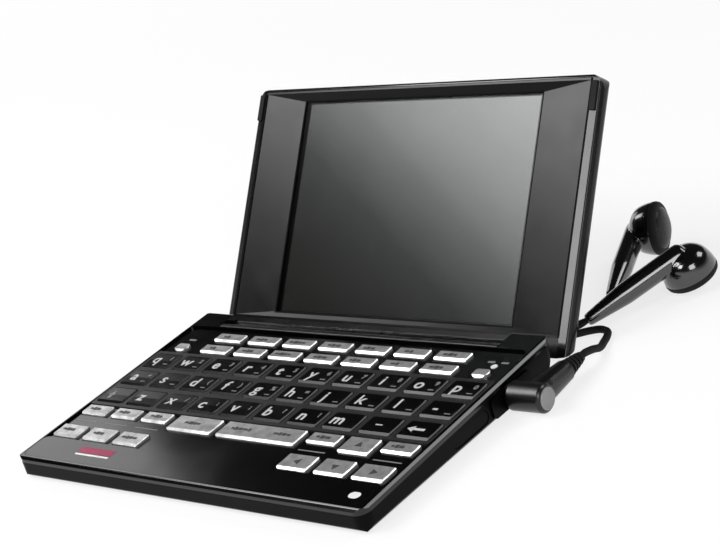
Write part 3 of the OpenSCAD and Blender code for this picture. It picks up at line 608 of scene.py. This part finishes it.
# Heights of the prints, from the deck's plane
KEY_TOP = 0.15
PALM_TOP = -0.05
FIELD_FLOOR = -0.6
INK = 0.03
KEY_INK = (KEY_TOP - 0.14, KEY_TOP + 0.02)
PALM_INK = (PALM_TOP - INK, PALM_TOP + INK)
FIELD_INK = (FIELD_FLOOR - INK, FIELD_FLOOR + INK)

# Letter keys: the row, its letters and its small signs, with a space for a key that has none
ROWS = {
    "letter_keys_upper": (2, "qwertyuiop", "1234567890"),
    "letter_keys_middle": (1, "asdfghjkl-", "+ ()%=    "),
    "letter_keys_lower": (0, " zxcvbnm  ", "  /:;?!   "),
}
LETTER_BOLD = 0.07
LETTER_SIZE = 5
LETTER_AT = (-1.7, -1.4)
SIGN_SIZE = 2.1
SIGN_AT = (2.7, 0.3)
TICK_AT = (2.6, -1.6)
TICK = (1.6, 0.3)

# Silver keys: width of the row of blocks, or direction of the arrow
KEY_BLOCKS = {
    "index_key": 4.6, "shift_key": 5.2, "symbol_key": 4, "menu_key": 5, "back_key": 4.2,
    "jump_key": 5.4, "scroll_key": 6.4, "page_up_key": 4.4, "page_down_key": 4.4,
}
KEY_ARROWS = {"up_key": 90, "left_key": 180, "down_key": 270, "right_key": 0}
ARROW_SIZE = 1.15
BLOCK_PITCH = 1.5
BLOCK_W = 0.7
BLOCK_H = 0.62
BLOCK_STEP = 0.22
BLOCK_GAP = 0.32

# Bars on the palm panel and in the key field: (across, up, width, depth)
PALM_BAR = (-32.3, 6.3, 11.8, 2.3)
PALM_LINE = (-32.4, 4.55, 11.8, 0.6)
PALM_DOT = (50.4, 4.8, 3, 2.2)
PALM_DOT_ROUND = 1.05
FIELD_DASHES = [(-49, 57.3, 2.6, 0.7), (47.6, 58.4, 2, 0.7), (51.4, 58.4, 2, 0.7)]
FIELD_DASH_ROUND = 0.2


def column(i):
    """The middle of a letter key, counted from the left."""
    return (i - 4.5) * KEY_PITCH


FIELD_LINES = [
    *((column(i) - 0.4, 17.9, 8, 0.35) for i in (7, 9)),
    *((column(i), 18.1, 8, 0.3) for i in (0, 1, 2)),
]


def letter_prints(white, pale):
    """White letters at the left of each key and small pale signs at the right."""
    for body, (row, letters, signs) in ROWS.items():
        v = LETTER_V + row * ROW_PITCH
        main, small = bmesh.new(), bmesh.new()
        for i, (big, sign) in enumerate(zip(letters, signs)):
            u = column(i)
            if big != " ":
                letter(main, big, u + LETTER_AT[0], v + LETTER_AT[1], LETTER_SIZE, KEY_INK)
            if sign != " ":
                letter(small, sign, u + SIGN_AT[0], v + SIGN_AT[1], SIGN_SIZE, KEY_INK)
        if row == 0:
            end_keys(main, small, v)
        else:
            for i in range(len(letters)):
                bar(small, column(i) + TICK_AT[0], v + TICK_AT[1], *TICK, KEY_INK)
        add_piece(body + "_print", main, DECK, body, white, "grey_lattice")
        add_piece(body + "_signs", small, DECK, body, pale, "grey_lattice")


def end_keys(main, small, v):
    """Arrows on the first and the last key of the lower row, and a line on the last but one."""
    first, line, last = column(0), column(8), column(9)
    arrow(small, first - 1.6, v + 0.2, 90, 1.3, KEY_INK)
    bar(small, first - 1.6, v - 1.2, 1.1, 1.2, KEY_INK)
    letter(main, "_", line - 0.6, v + 0.4, 3.4, KEY_INK)
    arrow(main, last - 2.2, v, 180, 1.2, KEY_INK)
    bar(main, last - 0.2, v, 3.2, 0.7, KEY_INK)


def key_middle(node):
    """Where the middle of a key lies on the deck."""
    low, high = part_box(node)
    at = DECK.inverted() @ ((low + high) / 2)
    return at.x, at.y


def blocks(shape, u, v, width, seed):
    """A short row of plain blocks whose sizes vary with the seed."""
    start = u - width / 2
    for k in range(max(2, round(width / BLOCK_PITCH))):
        wide = BLOCK_W + (seed * 7 + k * 5) % 4 * BLOCK_STEP
        tall = BLOCK_H + (seed * 3 + k * 2) % 3 * BLOCK_STEP
        bar(shape, start + wide / 2, v, wide, tall, KEY_INK)
        start += wide + BLOCK_GAP


def silver_prints(dark):
    """Dark blocks or arrows on every silver key."""
    for seed, (body, width) in enumerate(KEY_BLOCKS.items()):
        u, v = key_middle(body)
        shape = bmesh.new()
        blocks(shape, u - 0.3, v + 0.2, width, seed)
        add_piece(body + "_print", shape, DECK, body, dark, "silver_keys")
    for body, direction in KEY_ARROWS.items():
        shape = bmesh.new()
        arrow(shape, *key_middle(body), direction, ARROW_SIZE, KEY_INK)
        add_piece(body + "_print", shape, DECK, body, dark, "silver_keys")
    u, v = key_middle("list_key")
    shape = bmesh.new()
    blocks(shape, u - 6, v + 0.3, 7, 4)
    blocks(shape, u + 6.6, v + 0.3, 5.4, 9)
    add_piece("list_key_print", shape, DECK, "list_key", dark, "silver_keys")
    for body in ("function_keys_upper", "function_keys_lower"):
        v = key_middle(body)[1]
        shape = bmesh.new()
        for i in range(FUNCTION_KEYS):
            u = (i - (FUNCTION_KEYS - 1) // 2) * FUNCTION_PITCH
            blocks(shape, u - 0.5, v + 0.1, 3.6 + i * 37 % 5 * 0.5, i)
        add_piece(body + "_print", shape, DECK, body, dark, "silver_keys")


def deck_marks(white, pale, crimson):
    """Plain bars on the palm panel and thin lines between the silver keys."""
    shape = bmesh.new()
    bar(shape, *PALM_BAR, PALM_INK)
    add_piece("palm_bar", shape, DECK, "base", crimson, "gloss_deck")
    shape = bmesh.new()
    bar(shape, *PALM_LINE, PALM_INK)
    bar(shape, *PALM_DOT, PALM_INK, PALM_DOT_ROUND)
    add_piece("palm_line", shape, DECK, "base", white, "gloss_deck")
    shape = bmesh.new()
    for line in FIELD_LINES:
        bar(shape, *line, FIELD_INK)
    for dash in FIELD_DASHES:
        bar(shape, *dash, FIELD_INK, FIELD_DASH_ROUND)
    add_piece("deck_line", shape, DECK, "base", pale, "gloss_deck")


# ---------------------------------------------------------------- earbuds


# Each head faces +X in its own frame, and its stem runs along -Y
LEFT_BUD = TABLE @ Matrix.Translation((47, 129, 6.75)) @ turned("Z", 16) @ turned("X", 11)
RIGHT_BUD = (
    TABLE @ Matrix.Translation((66.6, 112.2, 4.85))
    @ turned("Z", -34.7) @ turned("X", 15.67) @ turned("Y", 90)
)
STEM_OFFSET = 4.2
STEM_LENGTH = 27
STEM_TAPER = STEM_LENGTH - 9
STEM_R = 2.7
STEM_TIP_R = 1.5
STEM_SIDES = 40
STEM_PROFILE = [
    (0, -1.5), (1.9, -1.3), (STEM_R - 0.1, -0.5), (STEM_R, 0.5),
    (STEM_R - 0.05, STEM_TAPER - 2), (STEM_R - 0.35, STEM_TAPER + 1),
    (STEM_TIP_R + 0.1, STEM_LENGTH - 1), (STEM_TIP_R, STEM_LENGTH - 0.3),
    (STEM_TIP_R - 0.25, STEM_LENGTH - 0.02), (0, STEM_LENGTH - 0.02),
]
HEAD_PROFILE = [
    (0, -5.15), (1.4, -5.12), (2.5, -5.05), (3.7, -4.7), (4.7, -4.05), (5.5, -3.2),
    (6.0, -2.2), (6.35, -1.1), (6.55, -0.2), (6.64, 0.3), (6.66, 0.9), (6.6, 1.4), (6.3, 1.9),
    (5.8, 2.3), (5.2, 2.6), (0, 2.6),
]
RIM_PROFILE = [
    (5.3, 1.5), (6.4, 0.9), (6.66, 1.1), (6.68, 1.7), (6.5, 2.3), (6.1, 2.7), (5.6, 2.85),
    (5.2, 2.8), (5.2, 1.6), (5.3, 1.5),
]
GRILLE_PROFILE = [(0, 4.3), (1.6, 4.24), (3, 4.0), (4.2, 3.55), (5.1, 2.95), (5.3, 2.6), (0, 2.6)]
SKIN_VOXEL = 0.2
SKIN_ROUNDS = 26


def melted(*solids):
    """Joins crossing solids into one skin and rounds the corners where they meet."""
    together = bmesh.new()
    for solid in solids:
        bmesh.ops.recalc_face_normals(solid, faces=solid.faces)
        mesh = bpy.data.meshes.new("solid")
        solid.to_mesh(mesh)
        solid.free()
        together.from_mesh(mesh)
        bpy.data.meshes.remove(mesh)
    mesh = bpy.data.meshes.new("melted")
    together.to_mesh(mesh)
    together.free()
    holder = bpy.data.objects.new("melted", mesh)
    bpy.context.scene.collection.objects.link(holder)
    skin = holder.modifiers.new("skin", "REMESH")
    skin.mode = "VOXEL"
    skin.voxel_size = SKIN_VOXEL
    soften = holder.modifiers.new("soften", "SMOOTH")
    soften.factor = 0.5
    soften.iterations = SKIN_ROUNDS
    bpy.context.view_layer.update()
    done = holder.evaluated_get(bpy.context.evaluated_depsgraph_get()).to_mesh()
    result = bmesh.new()
    result.from_mesh(done)
    bpy.data.objects.remove(holder)
    bpy.data.meshes.remove(mesh)
    return result


def bud(side, place, shell, rubber, mesh):
    """Head and stem run into each other; a soft ring and a mesh close the mouth."""
    stem = lathe(STEM_PROFILE, STEM_SIDES)
    down = Matrix.Translation((-STEM_OFFSET, 0, 0)) @ turned("Z", -90)
    bmesh.ops.transform(stem, matrix=down, verts=stem.verts)
    name = side + "_bud"
    return [
        add_piece(
            name, melted(lathe(HEAD_PROFILE), stem), place, "earphones", shell,
            "earphone_black", "earbud_" + side,
        ),
        add_piece(
            name + "_rim", lathe(RIM_PROFILE), place, "earphones", rubber, "rubber_black"
        ),
        add_piece(
            name + "_mesh", lathe(GRILLE_PROFILE), place, "earphones", mesh,
            "grille_grey", "bud_grilles",
        ),
    ]


# ---------------------------------------------------------------- rounded outer edges


# Where the edges lie and how sharp they are: (height, low and high angle)
TOP_CASE_EDGES = [(0, 40, 50), (-0.7, 40, 50)]
LID_EDGES = [(LID_FACE, 30, 60), (LID_FACE - 0.5, 30, 60), (LID_FACE - 1.3, 30, 60)]
PLUG_EDGES = [(65.5, 30, 60), (66.1, 30, 60)]
# Disc on the plug's end, whose pale grey is a painted highlight
HIGHLIGHT_DISC_PROFILE = [(0, 65.95), (2.55, 65.95), (2.55, 66.15), (2.4, 66.3), (0, 66.3)]


def eased(node, body, finish, slot, place, radius, loops):
    """Stands in for a node, with its outer edges rounded.

    Each loop of edges lies at one height and bends by between a low and a high angle.
    """
    shape = bmesh.new()
    shape.from_mesh(frame["nodes"][node].data)
    bmesh.ops.transform(shape, matrix=place.inverted(), verts=shape.verts)
    bmesh.ops.remove_doubles(shape, verts=shape.verts, dist=WELD)
    bmesh.ops.dissolve_limit(shape, angle_limit=FLAT, verts=shape.verts, edges=shape.edges)
    rounded = [
        e for e in shape.edges
        if any(
            all(abs(p.co.z - height) < LEVEL for p in e.verts)
            and radians(low) < e.calc_face_angle_signed(0) < radians(high)
            for height, low, high in loops
        )
    ]
    bmesh.ops.bevel(
        shape, geom=rounded, offset=radius, offset_type="OFFSET", segments=3, profile=0.5,
        affect="EDGES", material=-1, clamp_overlap=False,
    )
    made = add_piece(node + "_eased", shape, place, body, finish, slot, node)
    made.data.set_sharp_from_angle(angle=SHARP_EASED)
    flat = made.modifiers.new("flat", "WEIGHTED_NORMAL")
    flat.keep_sharp = True
    return made


def plug_pieces():
    """The plug's housing, which lies along X, with a pale grey disc in its end that is a painted
    highlight.
    """
    satin = moulded("plug_satin", grey(16, -0.04), 0.3, 0.4, 0.002)
    along = TABLE @ turned("Y", 90)
    housing = eased("plug_body", "earphones", satin, "earphone_black", along, 0.25, PLUG_EDGES)
    low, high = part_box("plug_contact")
    axis = TABLE.inverted() @ Vector((0, (low.y + high.y) / 2, (low.z + high.z) / 2))
    # The disc's pale grey is a painted highlight where the plug's end catches the light
    highlight_disc = add_piece(
        "plug_highlight_disc", lathe(HIGHLIGHT_DISC_PROFILE, 48), TABLE @ Matrix.Translation(axis), "earphones",
        moulded("plug_highlight_disc", grey(128), 0.35, 0.4, 0.002), "earphone_black",
    )
    return [housing, highlight_disc]


# ---------------------------------------------------------------- dressing the model


def dress(finish, *nodes):
    """Gives nodes of the frame a finish."""
    for name in nodes:
        slots = frame["nodes"][name].data.materials
        slots.clear()
        slots.append(finish.material)
    return finish


def dress_nodes(rubber):
    """Gives every node of the frame its finish."""
    dress(
        moulded("case_black", grey(12), 0.36, Specular_IOR_Level=0.07),
        "bottom_case", "battery_cover", "slot_cover",
    )
    deck = dress(piano_black("deck_black", grey(5), 0.1), "top_case", "palm_panel")
    eased("top_case", "base", deck, "gloss_deck", DECK, 0.35, TOP_CASE_EDGES)
    lid = dress(lid_black(), "lid_shell")
    eased("lid_shell", "lid", lid, "black_case", LID, 0.22, LID_EDGES)
    dress(bezel_satin(), "lid_bezel")
    dress(moulded("trim_satin", grey(22), 0.36, Specular_IOR_Level=0.3), "hinge_cover")
    dress(moulded("lattice_grey", grey(38), 0.4, Specular_IOR_Level=0.35), "key_grid")
    dress(moulded("key_black", grey(5), 0.2, Specular_IOR_Level=0.25), *ROWS)
    dress(
        silver_paint(), "function_keys_upper", "function_keys_lower", "power_key", "sound_key",
        "list_key", *KEY_BLOCKS, *KEY_ARROWS,
    )
    dress(moulded("lamp_white", grey(225), 0.3, 0.6, 0.001), "status_lamp")
    dress(rubber, "feet", "lid_bumpers", "plug_relief", "lead_split")
    dress(window_glass(), "screen_window")
    dress(lcd(), "lcd_panel")
    dress(moulded("membrane", grey(190), 0.6), "key_membrane")
    dress(circuit_board(), "main_board")
    dress(metal("battery_foil", grey(150), 0.4), "battery")
    dress(moulded("speaker_frame", grey(40), 0.5), "loudspeaker")
    dress(metal("plated", grey(200), 0.3), "data_port")
    dress(moulded("socket_plastic", grey(26), 0.5), "headphone_jack")
    dress(metal("steel", grey(190), 0.35), "case_screws", "hinge_pins")
    dress(metal("gold", GOLD, 0.25), "plug_contact")


# ---------------------------------------------------------------- studio


# Name, place in metres, side and watts
LAMPS = [
    ("key", (-0.507, -0.396, 0.766), 0.44, 6.2),
    ("rear", (0.49, 0.57, 0.67), 0.36, 2),
    ("left_rear", (-0.926, 0.318, 0.376), 0.42, 0.9),
    ("left", (-0.72, 0, 0.7), 0.32, 1.6),
    ("right_front", (0.76, -0.48, 0.5), 0.42, 3.4),
    ("front", (-0.084, -0.663, 0.726), 0.25, 2.1),
]
FLOOR_HALF = 6
FLOOR_WHITE = (0.95, 0.95, 0.95, 1)
FLOOR_FADE = (0.25, 0.7)  # metres from the middle, over which the floor turns plain white
FLOOR_SHARE = 0.76  # of plain white near the object
HORIZON = (0.1, 0.3)  # how steeply up the white surroundings end and the dark ceiling begins
CEILING = 0.03


def table():
    """White table that keeps the object's shadow, and goes over into plain white far off."""
    shape = bmesh.new()
    bmesh.ops.create_grid(shape, x_segments=1, y_segments=1, size=FLOOR_HALF)
    mesh = bpy.data.meshes.new("floor")
    shape.to_mesh(mesh)
    shape.free()
    floor = bpy.data.objects.new("floor", mesh)
    bpy.context.scene.collection.objects.link(floor)
    material = bpy.data.materials.new("floor_white")
    material.use_nodes = True
    mesh.materials.append(material)
    nodes = Nodes(material.node_tree)
    nodes.tree.nodes.remove(nodes.tree.nodes["Principled BSDF"])
    place = nodes.node("TexCoord", out="Object")
    reach = nodes.node("VectorMath", {"operation": "LENGTH"}, {0: place}, "Value")
    share = nodes.ramp(reach, *FLOOR_FADE, FLOOR_SHARE, 1)
    shown = nodes.rays("Is Camera Ray", "Is Glossy Ray", "Is Transmission Ray")
    lit = nodes.node("BsdfDiffuse", (), {"Color": FLOOR_WHITE})
    mixed = nodes.node("MixShader", (), {0: shown * share, 1: lit, 2: nodes.node("Emission")})
    nodes.feed(nodes.tree.nodes["Material Output"].inputs["Surface"], mixed)


def surroundings():
    """White round the horizon under a dark ceiling, so that polished black stays black."""
    world = bpy.data.worlds.new("studio")
    world.use_nodes = True
    bpy.context.scene.world = world
    nodes = Nodes(world.node_tree)
    up = nodes.split(nodes.node("TexCoord", out="Generated"))[2]
    backdrop = nodes.tree.nodes["Background"]
    nodes.feed(backdrop.inputs["Color"], (1, 1, 1, 1))
    nodes.feed(backdrop.inputs["Strength"], nodes.ramp(up, *HORIZON, 1, CEILING, "SMOOTHSTEP"))


def soft_lamp(name, at, side, power):
    """A square lamp that faces the middle of the table."""
    light = bpy.data.lights.new(name, "AREA")
    light.size = side
    light.energy = power
    lamp = bpy.data.objects.new(name, light)
    lamp.location = at
    lamp.rotation_euler = (-Vector(at)).to_track_quat("-Z", "Y").to_euler()
    bpy.context.scene.collection.objects.link(lamp)


bpy.context.scene.view_settings.view_transform = "Standard"
camera()
soft_rubber = moulded("rubber", grey(18), 0.7, 0.6, 0.01, Specular_IOR_Level=0.25)
bud_shell = moulded(
    "earphone_shell", grey(13, -0.06), 0.16, 0.5, 0.0005, Specular_IOR_Level=0.9, Coat_Weight=0.6
)
bud_mesh = grille_mesh()
cords(
    soft_rubber,
    plug_pieces(),
    bud("left", LEFT_BUD, bud_shell, soft_rubber, bud_mesh),
    bud("right", RIGHT_BUD, bud_shell, soft_rubber, bud_mesh),
)
dress_nodes(soft_rubber)
table()
surroundings()
for lamp in LAMPS:
    soft_lamp(*lamp)

ink_white = moulded("ink_white", grey(225), 0.5)
ink_letter = moulded("ink_letter", grey(192), 0.5)
ink_grey = moulded("ink_grey", grey(120), 0.5)
ink_dark = moulded("ink_dark", grey(60), 0.5)
ink_crimson = moulded("ink_crimson", CRIMSON, 0.45)
letter_prints(ink_letter, ink_grey)
silver_prints(ink_dark)
deck_marks(ink_white, ink_grey, ink_crimson)
